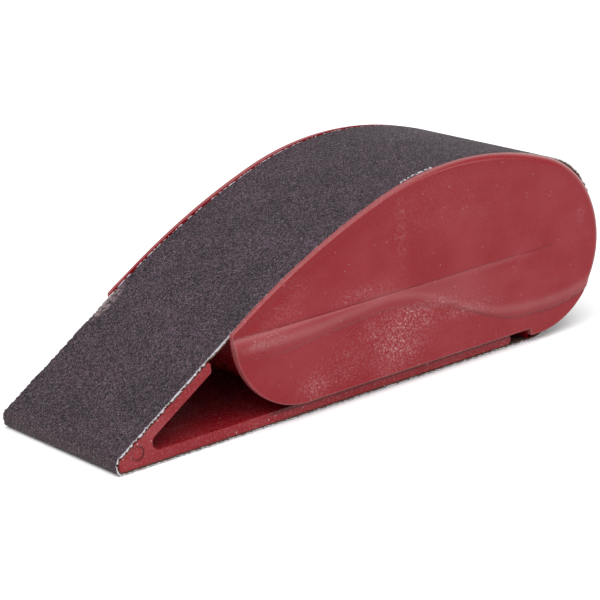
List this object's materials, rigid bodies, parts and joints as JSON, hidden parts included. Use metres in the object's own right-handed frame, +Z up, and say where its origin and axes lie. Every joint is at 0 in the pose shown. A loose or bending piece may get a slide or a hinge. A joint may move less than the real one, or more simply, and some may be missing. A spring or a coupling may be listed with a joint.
{
  "type": "belt sanding block",
  "caption": "Hand sanding block with a tall rounded hollow handle and a sliding wedge nose shoe, carrying a wide closed sanding belt stretched round both.",
  "frame": {"origin": "middle of the block's length and width, on the flat underside of the belt", "axes": "+X from the nose to the heel, +Y across the belt, +Z up from the sanding face to the rim"},
  "size_m": [0.2318, 0.0842, 0.0801],
  "materials": {
    "red_plastic": "satin",
    "abrasive_cloth": "matte",
    "joint_tape": "matte",
    "zinc_steel": "satin",
    "spring_steel": "satin"
  },
  "bodies": {
    "handle": {"handle_left_shell": "red_plastic", "handle_right_shell": "red_plastic", "shell_screws": "zinc_steel", "sanding_belt": "abrasive_cloth", "belt_joint_tape": "joint_tape", "spring_block": "red_plastic", "spring_rod_left": "zinc_steel", "spring_rod_right": "zinc_steel", "tension_spring_left": "spring_steel", "tension_spring_right": "spring_steel"},
    "shoe": {"nose_shoe": "red_plastic", "slide_key_front": "red_plastic", "slide_key_rear": "red_plastic", "key_screws": "zinc_steel"}
  },
  "joints": [
    {"name": "shoe_slide", "type": "slide", "parent": "handle", "child": "shoe", "axis": [1, 0, 0], "range_m": [0, 0.0085], "stiffness_N_per_m": 2400, "springref_m": -0.01, "deforming": ["tension_spring_left", "tension_spring_right"]}
  ]
}
